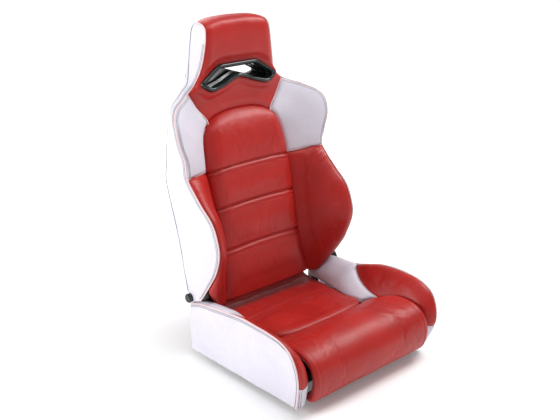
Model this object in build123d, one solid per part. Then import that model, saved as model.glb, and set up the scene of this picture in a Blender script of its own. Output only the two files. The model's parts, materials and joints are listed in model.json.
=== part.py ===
from build123d import *
import os
from math import atan2, cos, degrees, pi, radians, sin, sqrt

# A reclining sport bucket seat, in millimetres.
# Origin: centre of the base, on the face that is bolted down. +Z is up, the sitter faces -Y,
# and the sitter's left hand is at +X. Soft pieces are plain solids of foam and cover together.

# ---- driving dimensions ------------------------------------------------------------------
HINGE_Y = 190.0          # recline axis, along X
HINGE_Z = 190.0
BACK_TILT = 10.8         # degrees that the backrest leans back as shown
OUTER_HALF = 262.0       # half the width at the bolsters' outer seams
SKIN = 6.0               # thickness of the white side covers
SHOULDER_HALF = 281.0    # half the width at the shoulder wings

PAD_FRONT = -39.5        # front of the back's centre pad, from the hinge line (minus is forward)
PAD_REAR = -4.0
PAD_BOTTOM = -33.0       # heights along the backrest, from the hinge line
PAD_ARCH_TOP = 508.0
WING_BOTTOM = 345.0
WING_TOP = 568.0
HEAD_TOP = 774.0
PAD_HALF = 157.0
SHELL_WALL = 5.0

CREST_HALF = 281.0       # half the width at the seat bolsters' outer seams
CUSHION_HALF = 177.0     # seat cushion's half width at its front
CUSHION_REAR_HALF = 206.0
ROLL_HALF = 226.0        # front roll's half width
PAN_TOP = 80.0           # top of the seat pan, and underside of the foam on it
BOLSTER_BOTTOM = 102.0   # underside of the side bolsters, above the frames
SKIRT_BOTTOM = 16.0      # lower edge of the white side covers
PAN_THICKNESS = 2.5

TUBE_R = 11.0            # frame tubes
TUBE_BORE_R = 9.0
BACK_TUBE_X = 207.0
BACK_TUBE_Y = 24.0
POST_R = 5.0

FRAME_X = 208.0          # inner face of the seat's side frames
PLATE = 4.0              # thickness of the frames and hinge plates
HINGE_GAP = 1.0          # between the fixed and the moving hinge plate
PIVOT_R = 6.0
RUNNING_GAP = 0.05       # radial clearance of pins and shafts that turn
PLATE_EYE_R = 26.0       # hinge plates' round end

GEAR_MODULE = 1.5
SECTOR_TEETH = 36
PINION_TEETH = 12
GEAR_DROP = GEAR_MODULE * (SECTOR_TEETH + PINION_TEETH) / 2   # pinion axis below the hinge
GEAR_WIDTH = 8.0
SHAFT_R = 5.0

WHEEL_R = 52.0
WHEEL_INNER_X = 268.0
WHEEL_THICKNESS = 22.0
KNOB_R = 13.5
KNOB_LENGTH = 16.0
KNOB_FACES = 12

RAIL_X = 196.0           # mounting rails' centre lines, and so the bolt holes'
RAIL_WIDTH = 32.0
RAIL_HEIGHT = 20.0
RAIL_WALL = 3.0
MOUNT_PITCH_Y = 330.0
MOUNT_HOLE_R = 4.2       # clearance for M8

HINGE_PLATE_X = FRAME_X + PLATE                       # inner face of the fixed hinge plate
BACK_PLATE_X = HINGE_PLATE_X + PLATE + HINGE_GAP      # inner face of the moving one
GEAR_X = BACK_PLATE_X + PLATE                         # inner face of the gears
SIDE_INNER = OUTER_HALF - SKIN
PINION_Z = HINGE_Z - GEAR_DROP

BACK = Pos(0, HINGE_Y, HINGE_Z) * Rot(-BACK_TILT, 0, 0)
SIDES = {"left": 1, "right": -1}


# ---- helpers -----------------------------------------------------------------------------
def rounded(points, radius):
    """Face inside a closed outline whose corners are rounded by one radius or a list of them."""
    return make_face(FilletPolyline(*points, radius=radius, close=True))


def across(face, x_low, x_high):
    """A side-view outline (y, z) made solid between two distances across the seat."""
    return extrude(Plane.YZ.offset(x_low) * face, x_high - x_low)


def along(face, y_low, y_high):
    """A front-view outline (x, z) made solid between two distances along the seat."""
    return extrude(Plane.XZ.offset(-y_high) * face, y_high - y_low)


def rod(radius, x_low, x_high, y=HINGE_Y, z=HINGE_Z):
    """A round bar along X."""
    return extrude(Plane.YZ.offset(x_low) * Pos(y, z) * Circle(radius), x_high - x_low)


def tube(radius, bore, length):
    """A round tube along Z, centred on its own axis and starting at the origin."""
    return extrude(Circle(radius) - Circle(bore), length)


def on_side(solid, side):
    """A solid drawn for the sitter's left, or its mirror image for the right."""
    return solid if side > 0 else mirror(solid, Plane.YZ)


def mirrored_outline(half):
    """A closed outline from its right half, listed from the bottom middle to the top middle."""
    return half + [(-x, z) for x, z in reversed(half)]


def gear_profile(teeth, turn, sector_half=pi):
    """Involute gear outline. turn is the angle of one tooth's centre; sector_half limits the teeth."""
    pitch_r = GEAR_MODULE * teeth / 2
    base_r = pitch_r * cos(radians(20))
    tip_r = pitch_r + 0.8 * GEAR_MODULE
    root_r = pitch_r - 1.15 * GEAR_MODULE
    backlash = 0.16 / pitch_r

    def involute(r):
        return sqrt(max((r / base_r) ** 2 - 1, 0)) - atan2(sqrt(max(r * r - base_r ** 2, 0)), base_r)

    half_pitch = pi / teeth
    half_tooth = half_pitch / 2 - backlash
    flank_radii = [max(base_r, root_r) + (tip_r - max(base_r, root_r)) * k / 3 for k in range(4)]
    half_angles = [half_tooth + involute(pitch_r) - involute(r) for r in flank_radii]
    points = []
    for tooth in range(teeth):
        centre = turn + 2 * half_pitch * tooth
        offset = abs((centre - turn + pi) % (2 * pi) - pi)
        if offset > sector_half:
            points.append((root_r * cos(centre), root_r * sin(centre)))
            continue
        rising = [(root_r, -half_angles[0])] + [(r, -a) for r, a in zip(flank_radii, half_angles)]
        falling = [(r, -a) for r, a in reversed(rising)]
        for r, angle in rising + falling:
            points.append((r * cos(centre + angle), r * sin(centre + angle)))
    return make_face(Polyline(*points, close=True))


# ---- seat base: frame and mounting -------------------------------------------------------
def mounting_rail(side):
    length = 400.0
    outer = Pos(RAIL_X, 0, RAIL_HEIGHT / 2) * Box(RAIL_WIDTH, length, RAIL_HEIGHT)
    inner = Pos(RAIL_X, 0, RAIL_HEIGHT / 2) * Box(
        RAIL_WIDTH - 2 * RAIL_WALL, length, RAIL_HEIGHT - 2 * RAIL_WALL
    )
    rail = outer - inner
    for y in (-MOUNT_PITCH_Y / 2, MOUNT_PITCH_Y / 2):
        rail -= Pos(RAIL_X, y, RAIL_WALL / 2) * Cylinder(MOUNT_HOLE_R, 3 * RAIL_WALL)
    return on_side(rail, side)


FRONT_TUBE = (-196.0, 62.0)    # y, z of the front cross tube
REAR_TUBE = (182.0, 42.0)
BASE_BOLTS = [(167.0, 66.0), (184.0, 66.0)]
BOLT_R = 4.0


def side_frame(side):
    outline = [(-212, 20), (205, 20), (205, 97), (-105, 97), (-124, 79), (-212, 79)]
    plate = across(rounded(outline, [8, 8, 10, 8, 8, 10]), FRAME_X, FRAME_X + PLATE)
    window = [(-100, 42), (110, 42), (110, 78), (-100, 78)]
    plate -= across(rounded(window, 14), FRAME_X - 1, FRAME_X + PLATE + 1)
    for y, z in BASE_BOLTS:
        plate -= rod(BOLT_R, FRAME_X - 1, FRAME_X + PLATE + 1, y, z)
    return on_side(plate, side)


def cross_tube(y, z):
    return Pos(-FRAME_X, y, z) * Rot(0, 90, 0) * tube(TUBE_R, TUBE_BORE_R, 2 * FRAME_X)


def seat_pan():
    top, front, rear = PAN_TOP, -214, 198
    strip = make_face(
        Polyline(
            (front, top - 24), (front, top), (rear, top), (rear, top - 14),
            (rear - PAN_THICKNESS, top - 14), (rear - PAN_THICKNESS, top - PAN_THICKNESS),
            (front + PAN_THICKNESS, top - PAN_THICKNESS), (front + PAN_THICKNESS, top - 24),
            close=True,
        )
    )
    return across(strip, -FRAME_X, FRAME_X)


# ---- seat base: hinge hardware -----------------------------------------------------------
def hinge_base_plate(side):
    foot = rounded([(156, 50), (200, 50), (200, 150), (156, 150)], 8)
    neck = make_face(Polyline((160, 140), (200, 140), (214, 182), (168, 190), close=True))
    eye = Pos(HINGE_Y, HINGE_Z) * Circle(PLATE_EYE_R)
    plate = across(foot + neck + eye, HINGE_PLATE_X, HINGE_PLATE_X + PLATE)
    plate -= rod(PIVOT_R, HINGE_PLATE_X - 1, HINGE_PLATE_X + PLATE + 1)
    if side > 0:
        plate -= rod(BUSH_R, HINGE_PLATE_X - 1, HINGE_PLATE_X + PLATE + 1, z=PINION_Z)
    for y, z in BASE_BOLTS:
        plate -= rod(BOLT_R, HINGE_PLATE_X - 1, HINGE_PLATE_X + PLATE + 1, y, z)
    return on_side(plate, side)


def base_bolt(side, y, z):
    shank = rod(BOLT_R, FRAME_X, HINGE_PLATE_X + PLATE, y, z)
    head = extrude(
        Plane.YZ.offset(HINGE_PLATE_X + PLATE) * Pos(y, z) * RegularPolygon(7.5, 6), 5
    )
    nut = extrude(Plane.YZ.offset(FRAME_X - 6) * Pos(y, z) * RegularPolygon(7.5, 6), 6)
    return on_side(shank + head + nut, side)


BUSH_R = 9.0


def wheel_bush():
    bush = rod(BUSH_R, HINGE_PLATE_X - 10, HINGE_PLATE_X + PLATE, z=PINION_Z)
    bush += rod(BUSH_R + 3, HINGE_PLATE_X - 3, HINGE_PLATE_X, z=PINION_Z)
    return bush - rod(
        SHAFT_R + RUNNING_GAP, HINGE_PLATE_X - 11, HINGE_PLATE_X + PLATE + 1, z=PINION_Z
    )


PIN_HEAD_X = GEAR_X + GEAR_WIDTH + 1.0


def pivot_pin(side):
    """Shoulder pin fixed in the base plate. The right one reaches out to carry the side knob."""
    pin = rod(PIVOT_R, HINGE_PLATE_X - 8, PIN_HEAD_X)
    pin += rod(10, HINGE_PLATE_X - 8, HINGE_PLATE_X)
    pin += rod(10, PIN_HEAD_X, PIN_HEAD_X + 4)
    if side < 0:
        pin += rod(PIVOT_R, PIN_HEAD_X + 4, OUTER_HALF + 14)
    return on_side(pin, side)


# ---- seat base: upholstery ---------------------------------------------------------------
def seat_cushion():
    """Foam and cover, higher at the front, wider at the back where it runs under the backrest."""
    profile = [(-130, PAN_TOP), (196, PAN_TOP), (196, 113), (150, 118), (60, 122), (-50, 128), (-130, 150)]
    side_view = across(rounded(profile, [1, 6, 12, 40, 60, 60, 1]), -300, 300)
    plan = [(-CUSHION_HALF, -131), (CUSHION_HALF, -131), (CUSHION_HALF, 0), (CUSHION_REAR_HALF, 196),
            (-CUSHION_REAR_HALF, 196), (-CUSHION_HALF, 0)]
    return side_view & extrude(make_face(Polyline(*plan, close=True)), 300)


def front_roll():
    profile = [
        (-131, 150), (-131, PAN_TOP + 1), (-222, PAN_TOP + 1), (-222, 28), (-256, 28),
        (-282, 48), (-292, 88), (-280, 136), (-245, 164), (-185, 167),
    ]
    face = rounded(profile, [4, 1, 1, 6, 12, 24, 36, 36, 30, 30])
    return across(face, -ROLL_HALF + 0.5, ROLL_HALF - 0.5)


def lofted(sections):
    """Solid through flat sections given as (y, [(x, z), ...])."""
    faces = [make_face(Polyline(*[(x, y, z) for x, z in points], close=True)) for y, points in sections]
    return loft(faces, ruled=True)


# Outer seam of the seat base, from rear to front: y, the seam's x and z, the lower edge's x.
CREST = [
    (203, OUTER_HALF, 165, OUTER_HALF), (150, OUTER_HALF, 181, OUTER_HALF), (107, 261, 187, 260),
    (30, 257, 195, 258), (-60, 274, 214, 257), (-110, 280, 217, 256), (-155, CREST_HALF, 216, 256),
    (-205, CREST_HALF, 208, 256), (-240, CREST_HALF, 192, 256),
]


def valance(side):
    """White side cover, leaning outward to the bolster's seam."""
    sections = [
        (y, [(low - SKIN, SKIRT_BOTTOM), (low, SKIRT_BOTTOM), (x, z), (x - SKIN, z)]) for y, x, z, low in CREST
    ]
    sections.append((-268, [(266, 84), (272, 84), (280, 146), (274, 146)]))
    plate = lofted(sections)
    plate -= rod(20, SIDE_INNER - 1, OUTER_HALF + 1)
    if side > 0:
        plate -= rod(SHAFT_R + 3, SIDE_INNER - 1, OUTER_HALF + 1, z=PINION_Z)
    return on_side(plate, side)


# Side bolster and wedge together, from rear to front: y, (x, z) where they meet the cushion,
# the middle of the slope, the crest, and the outer lower edge's x.
BOLSTER = [
    (150, (203, 121), (238, 182), (255, 179), 255), (107, (197, 122), (235, 186), (254, 186), 253),
    (30, (182, 123), (228, 172), (250, 193), 251), (-60, (178, 126), (236, 186), (266, 212), 258),
    (-110, (178, 138), (240, 182), (272, 215), 259), (-155, (178, 142), (244, 186), (274, 214), 259),
    (-205, (178, 142), (248, 184), (274, 206), 259), (-240, (178, 128), (250, 168), (274, 190), 259),
    (-270, (178, 103), (250, 122), (273, 138), 266),
]
# The white wedge behind the red bolster: their seam runs slantwise across the top.
WEDGE_PLAN = [(100, -450), (320, 225), (320, 400), (100, 400)]


def side_cushion():
    sections = [
        (y, [(inner[0], BOLSTER_BOTTOM), (low, BOLSTER_BOTTOM), crest, middle, inner])
        for y, inner, middle, crest, low in BOLSTER
    ]
    body = lofted(sections)
    roll_space = Pos(ROLL_HALF / 2, -230.8, 150) * Box(ROLL_HALF + 1, 200, 260)
    return body - roll_space


def wedge_zone():
    return extrude(make_face(Polyline(*WEDGE_PLAN, close=True)), 400)


def seat_bolster(side):
    return on_side(side_cushion() - wedge_zone(), side)


def rear_wedge(side):
    return on_side(side_cushion() & wedge_zone(), side)


def front_corner(side):
    """White cover below the bolster's front end."""
    top = [(ROLL_HALF + 4, -222), (ROLL_HALF + 4, -262), (250, -272), (270, -268), (262, -222)]
    bottom = [(ROLL_HALF + 2, -222), (ROLL_HALF + 2, -246), (236, -250), (254, -243), (249, -222)]
    faces = [
        make_face(Polyline(*[(x, y, z) for x, y in points], close=True))
        for points, z in ((bottom, SKIRT_BOTTOM + 4), (top, 100))
    ]
    return on_side(loft(faces, ruled=True) - valance(1), side)


# ---- backrest: frame ---------------------------------------------------------------------
def hinge_back_plate(side):
    eye = Circle(PLATE_EYE_R)
    arm = make_face(
        Polyline((-20, 12), (10, 150), (40, 150), (26, 0), (0, 0), close=True)
    )
    plate = BACK * across(eye + arm, BACK_PLATE_X, BACK_PLATE_X + PLATE)
    plate -= rod(PIVOT_R + RUNNING_GAP, BACK_PLATE_X - 1, BACK_PLATE_X + PLATE + 1)
    return on_side(plate, side)


def recliner_sector():
    middle_tooth = radians(-90) + 2 * (2 * pi / SECTOR_TEETH)
    face = Pos(HINGE_Y, HINGE_Z) * gear_profile(SECTOR_TEETH, middle_tooth, radians(46))
    gear = across(face, GEAR_X, GEAR_X + GEAR_WIDTH)
    return gear - rod(PIVOT_R + RUNNING_GAP, GEAR_X - 1, GEAR_X + GEAR_WIDTH + 1)


def back_side_tube(side):
    start = 31.0
    length = 509.0
    solid = BACK * Pos(BACK_TUBE_X, BACK_TUBE_Y, start) * tube(TUBE_R, TUBE_BORE_R, length)
    plate_space = BACK * Pos(BACK_PLATE_X + 5, BACK_TUBE_Y, 90) * Box(10, 60, 125)
    return on_side(solid - plate_space, side)


def tube_space(side, radius=TUBE_R):
    """Solid bar that fills a side tube, to cut what is welded or hooked to it."""
    return BACK * Pos(side * BACK_TUBE_X, BACK_TUBE_Y, 290) * Cylinder(radius, 600)


def back_cross_tube(height):
    bar = BACK * Pos(-BACK_TUBE_X, BACK_TUBE_Y, height) * Rot(0, 90, 0) * tube(
        TUBE_R, TUBE_BORE_R, 2 * BACK_TUBE_X
    )
    return bar - tube_space(1) - tube_space(-1)


UPPER_TUBE_HEIGHT = 530.0
POST_BASE = (155.0, UPPER_TUBE_HEIGHT)    # x, height of a head post's foot, welded to the upper tube
POST_TIP = (100.0, 726.0)


def head_post(side):
    run_x = POST_TIP[0] - POST_BASE[0]
    run_z = POST_TIP[1] - POST_BASE[1]
    lean = degrees(atan2(run_x, run_z))
    length = sqrt(run_x ** 2 + run_z ** 2)
    post = Pos(POST_BASE[0], BACK_TUBE_Y, POST_BASE[1]) * Rot(0, lean, 0) * Cylinder(
        POST_R, length, align=(Align.CENTER, Align.CENTER, Align.MIN)
    )
    tube_bar = Pos(0, BACK_TUBE_Y, UPPER_TUBE_HEIGHT) * Rot(0, 90, 0) * Cylinder(TUBE_R, 400)
    return on_side(BACK * (post - tube_bar), side)


def head_cross_tube():
    bar = BACK * Pos(0, BACK_TUBE_Y, POST_TIP[1] - 12) * Rot(0, 90, 0) * Cylinder(POST_R, 2 * POST_TIP[0])
    return bar - head_post(1) - head_post(-1)


SPRING_R = 2.0
SPRING_HEIGHTS = [110.0, 210.0, 310.0, 410.0]


def back_spring(height):
    """Sinuous wire across the back, hooked to the side tubes."""
    reach = BACK_TUBE_X - TUBE_R + 2
    loops = 8
    swing = 14.0
    step = 2 * (reach - 14) / loops
    points = [(-reach, height)]
    for k in range(loops + 1):
        x = -reach + 14 + k * step
        z = height + (swing if k % 2 else -swing)
        points += [(x - 0.3 * step, z), (x + 0.3 * step, z)] if 0 < k < loops else [(x, z)]
    points.append((reach, height))
    path = Plane.XZ.offset(-BACK_TUBE_Y) * FilletPolyline(*points, radius=5)
    start = Plane(path @ 0, z_dir=path % 0)
    return BACK * sweep(start * Circle(SPRING_R), path) - tube_space(1) - tube_space(-1)


# ---- backrest: upholstery ----------------------------------------------------------------
PAD_SIDE = [(PAD_HALF, 345), (146, 440), (112, 487), (50, PAD_ARCH_TOP)]


def pad_face():
    half = [(168, PAD_BOTTOM), (153, 60)] + PAD_SIDE
    radii = [8, 60, 60, 80, 80, 80]
    return rounded(mirrored_outline(half), radii + radii[::-1])


def centre_pad():
    return BACK * along(pad_face(), PAD_FRONT, PAD_REAR)


BOLSTER_FRONT = [
    (-32, -14), (-52.5, 2), (-94.5, 44), (-132, 85), (-158.5, 131), (-162, 173), (-148.5, 228),
    (-106.5, 281), (-62.5, WING_BOTTOM - 1),
]


def back_bolster(side):
    outline = BOLSTER_FRONT + [(-14, WING_BOTTOM - 1), (-14, 40), (-32, 40)]
    whole = across(make_face(Polyline(*outline, close=True)), PAD_HALF - 10, SIDE_INNER)
    plan = [(120, -42), (168, -42), (232, -170), (232, -300), (120, -300)]
    slope = extrude(Pos(0, 0, -60) * make_face(Polyline(*plan, close=True)), 480)
    pad_space = along(offset(pad_face(), 1), -300, 60)
    return on_side(BACK * (whole - slope - pad_space), side)


SIDE_SEAM = [(15, 12), (15, 140), (23, 242), (35, WING_BOTTOM - 1)]


def side_boxing(side):
    """White side cover of the backrest, from the bolster's seam back to the shell's seam."""
    outline = [
        (14, -5), (0, -15), (-14, -5), (-50, 4), (-92, 46), (-129, 87), (-155, 133), (-158, 173),
        (-145, 226), (-104, 279), (-60, WING_BOTTOM - 1),
    ] + SIDE_SEAM[::-1]
    solid = across(make_face(Polyline(*outline, close=True)), SIDE_INNER, OUTER_HALF)
    if side < 0:
        solid -= extrude(Plane.YZ.offset(SIDE_INNER - 1) * Circle(PIVOT_R + 3), SKIN + 2)
    return on_side(BACK * solid, side)


def wing(side):
    front_view = [
        (166, WING_BOTTOM), (258, WING_BOTTOM), (270, 405), (SHOULDER_HALF, 462), (278, 508),
        (240, 546), (182, WING_TOP), (122, 484), (149, 441),
    ]
    front = along(rounded(front_view, [2, 4, 40, 40, 24, 40, 2, 2, 20]), -120, 60)
    plan = [
        (118, -6), (262, -80), (276, -82), (SHOULDER_HALF, -70), (278, -44), (262, -12),
        (241, 22), (228, 22), (250, -30), (118, 10),
    ]
    depth = extrude(Pos(0, 0, 300) * make_face(Polyline(*plan, close=True)), 300)
    return on_side(BACK * (front & depth), side)


HEAD_SIDE = [(181, WING_TOP + 1), (148, 596), (137, 626), (119, 700), (117, 740), (120, HEAD_TOP)]
SLOT_HALF = [(0, 611), (28, 602), (52, 592), (104, 578), (127, 589), (110, 600), (66, 627)]
BEZEL_HALF = [(0, 600), (31, 590), (50, 581), (106, 566), (142, 590), (125, 604), (71, 638)]


def closed_from_half(half):
    """Outline from a half that starts and may end on the middle line."""
    mirrored = [(-x, z) for x, z in reversed(half) if x > 0]
    return half + mirrored


SLEEVE_WALL = 2.0
BEZEL_FRONT = -30.0           # front bezel's faces
BEZEL_BACK = -20.0
REAR_BEZEL_START = 74.0       # rear bezel's faces, through the shell
REAR_BEZEL_END = 93.0
REAR_BEZEL_WIDTH = 7.0
LEVEL = (0, cos(radians(BACK_TILT)), sin(radians(BACK_TILT)))   # the car's level in the back's frame


def slot_tunnel(y_low, y_high, margin=0.0):
    """The belt slot's outline, widened by a margin and run level through the backrest."""
    face = make_face(Polyline(*closed_from_half(SLOT_HALF), close=True))
    if margin:
        face = offset(face, margin)
    drop = (y_low - BEZEL_BACK) * LEVEL[2] / LEVEL[1]
    start = Plane.XZ.offset(-y_low) * Pos(0, drop) * face
    return extrude(start, (y_high - y_low) / LEVEL[1], dir=LEVEL)


def bezel_face():
    return make_face(Polyline(*closed_from_half(BEZEL_HALF), close=True))


def headrest_pad():
    bottom = [(50, PAD_ARCH_TOP + 1), (112, 489), (121, 485)]
    half = bottom + HEAD_SIDE
    radii = [60, 60, 2, 2, 30, 60, 60, 60, 30]
    front = along(rounded(mirrored_outline(half), radii + radii[::-1]), -60, 60)
    profile = [
        (-6, 480), (-6, 520), (-14, 566), (-30, 600), (-46, 650), (-45, 700), (-49, 741), (-36, HEAD_TOP),
        (-8, HEAD_TOP), (12, 744), (12, 480),
    ]
    depth = across(make_face(Polyline(*profile, close=True)), -200, 200)
    solid = front & depth
    solid -= slot_tunnel(-80, 80, SLEEVE_WALL)
    solid -= along(bezel_face(), -80, BEZEL_BACK)
    return BACK * solid


def belt_bezel_front():
    return BACK * (along(bezel_face(), BEZEL_FRONT, BEZEL_BACK) - slot_tunnel(-60, 40))


def belt_bezel_rear():
    ring = slot_tunnel(REAR_BEZEL_START, REAR_BEZEL_END, REAR_BEZEL_WIDTH)
    return BACK * (ring - slot_tunnel(40, 140))


def belt_sleeve():
    outer = slot_tunnel(BEZEL_BACK, REAR_BEZEL_START, SLEEVE_WALL)
    return BACK * (outer - slot_tunnel(-60, 140))


SHELL_HALF = [
    (196, -12), (OUTER_HALF, 16), (OUTER_HALF, 344), (270, 405), (279, 462), (277, 508), (240, 546), (183, 569),
    (150, 597), (139, 626), (121, 700), (120, HEAD_TOP - 2),
]
SHELL_RADII = [8, 20, 60, 60, 40, 24, 40, 30, 30, 60, 60, 30]
SHELL_FRONT = [(15, -30)] + SIDE_SEAM + [(35, 576), (14, 600), (14, 742), (-6, HEAD_TOP)]
SHELL_BACK = [(6, 792), (48, 720), (78, 660), (88, 600), (92, 500), (82, 344), (62, 150), (44, -30)]


def shell_depth(front_shift, back_shift):
    """Side view of the rear shell, or of the hollow that its wall leaves."""
    outline = [(y + front_shift, z) for y, z in SHELL_FRONT] + [(y + back_shift, z) for y, z in SHELL_BACK]
    return across(make_face(Polyline(*outline, close=True)), -300, 300)


def shoulder_slope(side, shift=0.0):
    """Space behind a shoulder wing, where the shell slopes in towards the middle."""
    plan = [(320, -114), (241 - shift, 24), (203 - shift, 80), (203 - shift, 140), (320, 140)]
    space = extrude(Pos(0, 0, WING_BOTTOM + 8) * make_face(Polyline(*plan, close=True)), 240)
    return on_side(space, side)


def back_shell():
    outer_face = rounded(mirrored_outline(SHELL_HALF), SHELL_RADII + SHELL_RADII[::-1])
    inner_face = offset(outer_face, -SHELL_WALL)
    outer = along(outer_face, -40, 120) & shell_depth(0, 0)
    inner = along(inner_face, -41, 121) & shell_depth(-1, -SHELL_WALL)
    for hand in SIDES.values():
        outer -= shoulder_slope(hand)
        inner -= shoulder_slope(hand, SHELL_WALL + 1)
    shell = outer - inner
    shell -= slot_tunnel(40, 140, REAR_BEZEL_WIDTH)
    for hand in SIDES.values():
        shell -= Pos(hand * 227, 0, -10) * Box(48, 76, 96)
    return BACK * shell


# ---- hand wheel and side knob ------------------------------------------------------------
def hand_wheel():
    outer_x = WHEEL_INNER_X + WHEEL_THICKNESS
    rim = rod(WHEEL_R, WHEEL_INNER_X, outer_x, z=PINION_Z)
    rim = fillet(rim.edges().filter_by(GeomType.CIRCLE), 6)
    for recess_low, recess_high in ((WHEEL_INNER_X - 1, WHEEL_INNER_X + 8), (outer_x - 7, outer_x + 1)):
        ring = rod(WHEEL_R - 13, recess_low, recess_high, z=PINION_Z)
        rim -= ring - rod(16, recess_low, recess_high, z=PINION_Z)
    scallops = 10
    for k in range(scallops):
        angle = 2 * pi * (k + 0.5) / scallops
        reach = WHEEL_R + 15
        rim -= rod(
            18, WHEEL_INNER_X - 1, outer_x + 1,
            HINGE_Y + reach * cos(angle), PINION_Z + reach * sin(angle),
        )
    return rim - rod(SHAFT_R, WHEEL_INNER_X - 1, outer_x + 1, z=PINION_Z)


def wheel_shaft():
    return rod(SHAFT_R, HINGE_PLATE_X - 12, WHEEL_INNER_X + WHEEL_THICKNESS, z=PINION_Z)


def wheel_pinion():
    face = Pos(HINGE_Y, PINION_Z) * gear_profile(PINION_TEETH, radians(90) + PINION_PHASE)
    gear = across(face, GEAR_X, GEAR_X + GEAR_WIDTH)
    return gear - rod(SHAFT_R, GEAR_X - 1, GEAR_X + GEAR_WIDTH + 1, z=PINION_Z)


def wheel_cap():
    outer_x = WHEEL_INNER_X + WHEEL_THICKNESS
    cap = rod(13, outer_x, outer_x + 3, z=PINION_Z)
    return fillet(cap.edges().sort_by(Axis.X)[-1], 1.5)


def side_knob():
    face = Pos(HINGE_Y, HINGE_Z) * RegularPolygon(KNOB_R, KNOB_FACES)
    start = OUTER_HALF + 1
    body = across(face, start, start + KNOB_LENGTH)
    body = chamfer(body.faces().sort_by(Axis.X)[-1].edges(), 2)
    body -= rod(PIVOT_R + RUNNING_GAP, start - 1, OUTER_HALF + 14.3)
    return mirror(body, Plane.YZ)


# The sector has a tooth straight down at rest, so the pinion has a gap straight up.
PINION_PHASE = pi / PINION_TEETH


# ---- write every piece -------------------------------------------------------------------
parts = {
    "front_cross_tube": cross_tube(*FRONT_TUBE),
    "rear_cross_tube": cross_tube(*REAR_TUBE),
    "seat_pan": seat_pan(),
    "seat_cushion": seat_cushion(),
    "front_roll": front_roll(),
    "wheel_bush": wheel_bush(),
    "recliner_sector": recliner_sector(),
    "back_lower_tube": back_cross_tube(52.0),
    "back_upper_tube": back_cross_tube(UPPER_TUBE_HEIGHT),
    "head_cross_tube": head_cross_tube(),
    "centre_pad": centre_pad(),
    "headrest_pad": headrest_pad(),
    "belt_bezel_front": belt_bezel_front(),
    "belt_bezel_rear": belt_bezel_rear(),
    "belt_sleeve": belt_sleeve(),
    "back_shell": back_shell(),
    "hand_wheel": hand_wheel(),
    "wheel_shaft": wheel_shaft(),
    "wheel_pinion": wheel_pinion(),
    "wheel_cap": wheel_cap(),
    "side_knob": side_knob(),
}
for name, side in SIDES.items():
    parts[f"mounting_rail_{name}"] = mounting_rail(side)
    parts[f"side_frame_{name}"] = side_frame(side)
    parts[f"hinge_base_plate_{name}"] = hinge_base_plate(side)
    for number, (bolt_y, bolt_z) in enumerate(BASE_BOLTS, 1):
        parts[f"base_bolt_{name}_{number}"] = base_bolt(side, bolt_y, bolt_z)
    parts[f"pivot_pin_{name}"] = pivot_pin(side)
    parts[f"seat_bolster_{name}"] = seat_bolster(side)
    parts[f"rear_wedge_{name}"] = rear_wedge(side)
    parts[f"valance_{name}"] = valance(side)
    parts[f"front_corner_{name}"] = front_corner(side)
    parts[f"hinge_back_plate_{name}"] = hinge_back_plate(side)
    parts[f"back_side_tube_{name}"] = back_side_tube(side)
    parts[f"head_post_{name}"] = head_post(side)
    parts[f"back_bolster_{name}"] = back_bolster(side)
    parts[f"side_boxing_{name}"] = side_boxing(side)
    parts[f"wing_{name}"] = wing(side)
for number, spring_height in enumerate(SPRING_HEIGHTS, 1):
    parts[f"back_spring_{number}"] = back_spring(spring_height)

os.makedirs("parts", exist_ok=True)
for node, solid in parts.items():
    export_step(solid, f"parts/{node}.step")
print(len(parts), "parts written")
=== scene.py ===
import json
from math import cos, pi, radians, sin

import bpy
import numpy as np
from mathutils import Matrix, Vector


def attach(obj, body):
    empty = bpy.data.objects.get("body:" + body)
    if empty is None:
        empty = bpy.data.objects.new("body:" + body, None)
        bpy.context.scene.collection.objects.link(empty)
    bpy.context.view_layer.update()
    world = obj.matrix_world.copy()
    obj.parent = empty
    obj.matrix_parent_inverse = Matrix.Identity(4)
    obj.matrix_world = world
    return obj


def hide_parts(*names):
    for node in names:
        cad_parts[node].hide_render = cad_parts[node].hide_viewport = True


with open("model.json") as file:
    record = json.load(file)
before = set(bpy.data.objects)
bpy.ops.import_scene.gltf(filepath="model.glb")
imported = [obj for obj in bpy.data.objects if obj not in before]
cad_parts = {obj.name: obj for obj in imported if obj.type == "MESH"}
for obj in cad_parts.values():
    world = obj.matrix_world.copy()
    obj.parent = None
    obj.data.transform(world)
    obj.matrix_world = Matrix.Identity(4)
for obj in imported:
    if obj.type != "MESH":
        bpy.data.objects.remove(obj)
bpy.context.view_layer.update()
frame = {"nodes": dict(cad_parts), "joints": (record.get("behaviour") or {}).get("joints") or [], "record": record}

# A red and white reclining sport seat. Tables are in millimetres, Blender in metres.
# The sitter's left is +X. Panels are drawn for the left half and mirrored.
MM = 0.001
BACK_TILT = radians(10.8)  # how far the backrest leans back at rest
HINGE = next(np.array(j["pos_m"]) / MM for j in frame["joints"] if j["name"] == "backrest_recline")
SIDES = {"left": 1, "right": -1}
SEAT = "seat_base"
BACK = "backrest"


# ---- curves
def from_back(points):
    """Backrest coordinates (across, rearward, up along the back; from the hinge) to the row frame."""
    p = np.asarray(points, float)
    c, s = cos(BACK_TILT), sin(BACK_TILT)
    x, y, v = p[..., 0], p[..., 1], p[..., 2]
    return np.stack([x + HINGE[0], HINGE[1] + c * y + s * v, HINGE[2] - s * y + c * v], -1)


def spline(controls, t):
    """Smooth curve through control points, at parameters t from 0 to len(controls) - 1."""
    p = np.asarray(controls, float)
    q = np.concatenate([[2 * p[0] - p[1]], p, [2 * p[-1] - p[-2]]])
    t = np.clip(np.asarray(t, float), 0, len(p) - 1 - 1e-9)
    k = t.astype(int)
    f = (t - k).reshape((-1,) + (1,) * (p.ndim - 1))
    a, b, c, d = q[k], q[k + 1], q[k + 2], q[k + 3]
    return b + 0.5 * f * (c - a + f * (2 * a - 5 * b + 4 * c - d + f * (3 * (b - c) + d - a)))


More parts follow.
